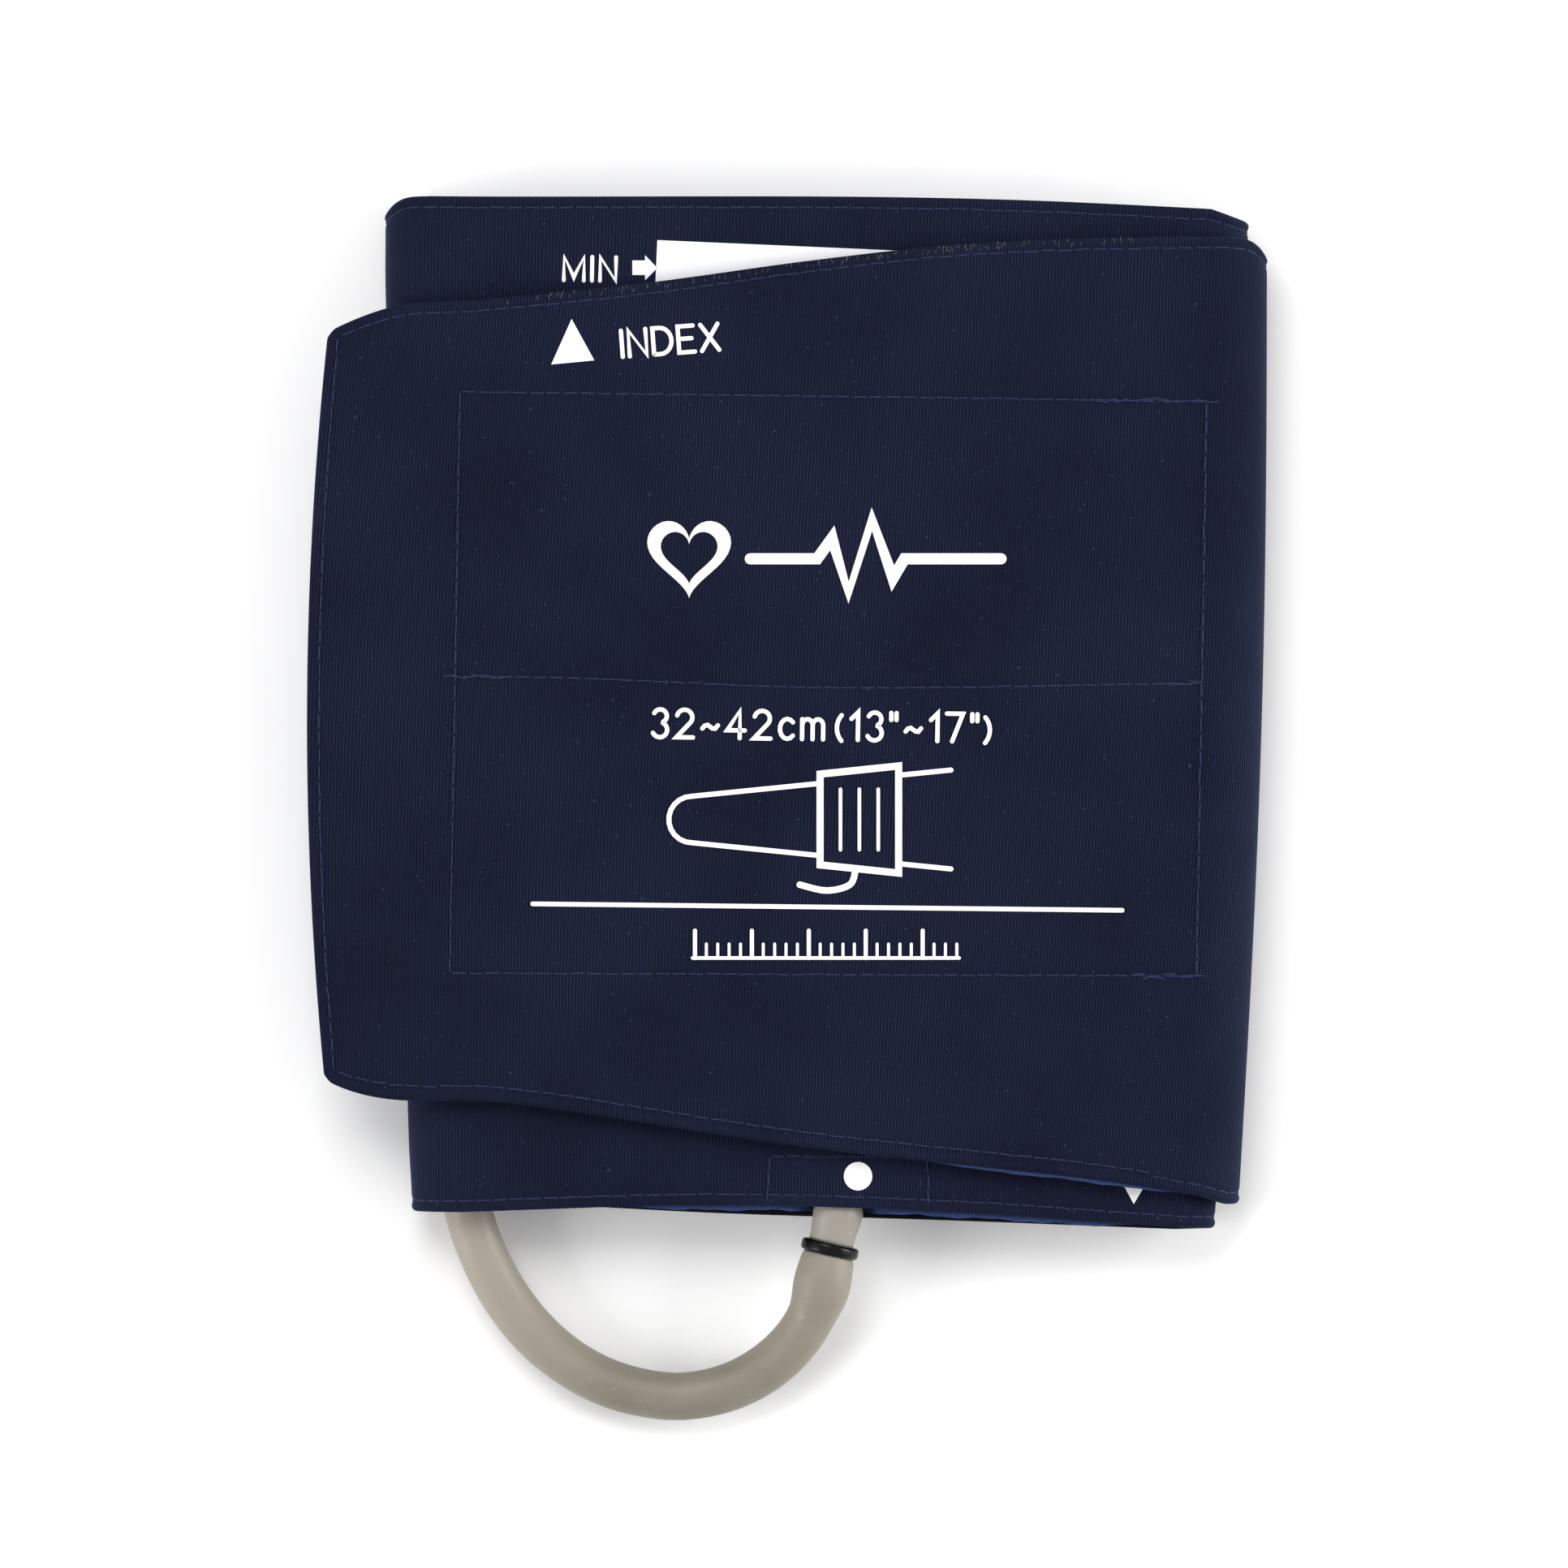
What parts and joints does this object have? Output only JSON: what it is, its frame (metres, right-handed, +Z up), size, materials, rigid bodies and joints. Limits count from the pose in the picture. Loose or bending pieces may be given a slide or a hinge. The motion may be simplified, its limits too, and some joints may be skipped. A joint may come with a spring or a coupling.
{
  "type": "blood pressure cuff",
  "caption": "Large upper-arm blood pressure cuff wrapped into a flat roll, with a hook-and-loop flap, a pull tab and a short air hose looped back into the roll.",
  "frame": {"origin": "centre of the rolled cuff's own box, without the hose, at the level of the surface it lies on", "axes": "+Z up through the layers of the roll, +Y across the strip's width away from the edge where the hose leaves, +X towards the spine fold"},
  "size_m": [0.1654, 0.2112, 0.0196],
  "materials": {
    "shell_fabric": "navy ribbed woven fabric, soft sheen",
    "lining_fabric": "smooth navy lining fabric",
    "hook_tape": "navy hook tape",
    "thread": "navy polyester thread",
    "bladder_rubber": "grey welded sheet",
    "hose_rubber": "warm grey, satin",
    "coupler_plastic": "black, semi-gloss",
    "plug_plastic": "grey, satin"
  },
  "bodies": {
    "root": {"shell_back": "shell_fabric", "shell_left_fold": "shell_fabric", "shell_middle": "shell_fabric", "shell_inner_fold": "shell_fabric", "shell_inner_end": "shell_fabric", "lining_back": "lining_fabric", "lining_left_fold": "lining_fabric", "lining_middle": "lining_fabric", "lining_inner_fold": "lining_fabric", "lining_inner_end": "lining_fabric", "bladder": "bladder_rubber", "bladder_port": "bladder_rubber", "stub_tube": "hose_rubber", "tube_exit_patch": "shell_fabric", "tube_coupler": "coupler_plastic", "hose": "hose_rubber", "plug_body": "plug_plastic", "back_stitching": "thread", "middle_stitching": "thread", "inner_end_stitching": "thread", "tube_exit_stitching": "thread"},
    "spine": {"shell_spine": "shell_fabric", "lining_spine": "lining_fabric", "spine_stitching": "thread"},
    "flap": {"shell_flap": "shell_fabric", "lining_flap": "lining_fabric", "hook_tape_upper": "hook_tape", "hook_tape_lower": "hook_tape", "flap_stitching": "thread", "hook_stitching": "thread"},
    "pull_tab": {"shell_pull_tab": "shell_fabric", "lining_pull_tab": "lining_fabric", "pull_tab_stitching": "thread"}
  },
  "joints": [
    {"name": "spine_unfold", "type": "hinge", "parent": "root", "child": "spine", "pos_m": [0.07818, 0, 0.00209], "axis": [0.0298, 0.9996, 0], "range_deg": [0, 85]},
    {"name": "flap_lift", "type": "hinge", "parent": "spine", "child": "flap", "pos_m": [0.07818, 0, 0.01744], "axis": [0.0298, 0.9996, 0], "range_deg": [0, 85]},
    {"name": "tab_lift", "type": "hinge", "parent": "flap", "child": "pull_tab", "pos_m": [-0.06, 0, 0.0197], "axis": [0.0171, 0.9999, 0], "range_deg": [0, 45]}
  ],
  "couplings": [
    {"joint": "flap_lift", "follows": "spine_unfold", "ratio": 1}
  ]
}
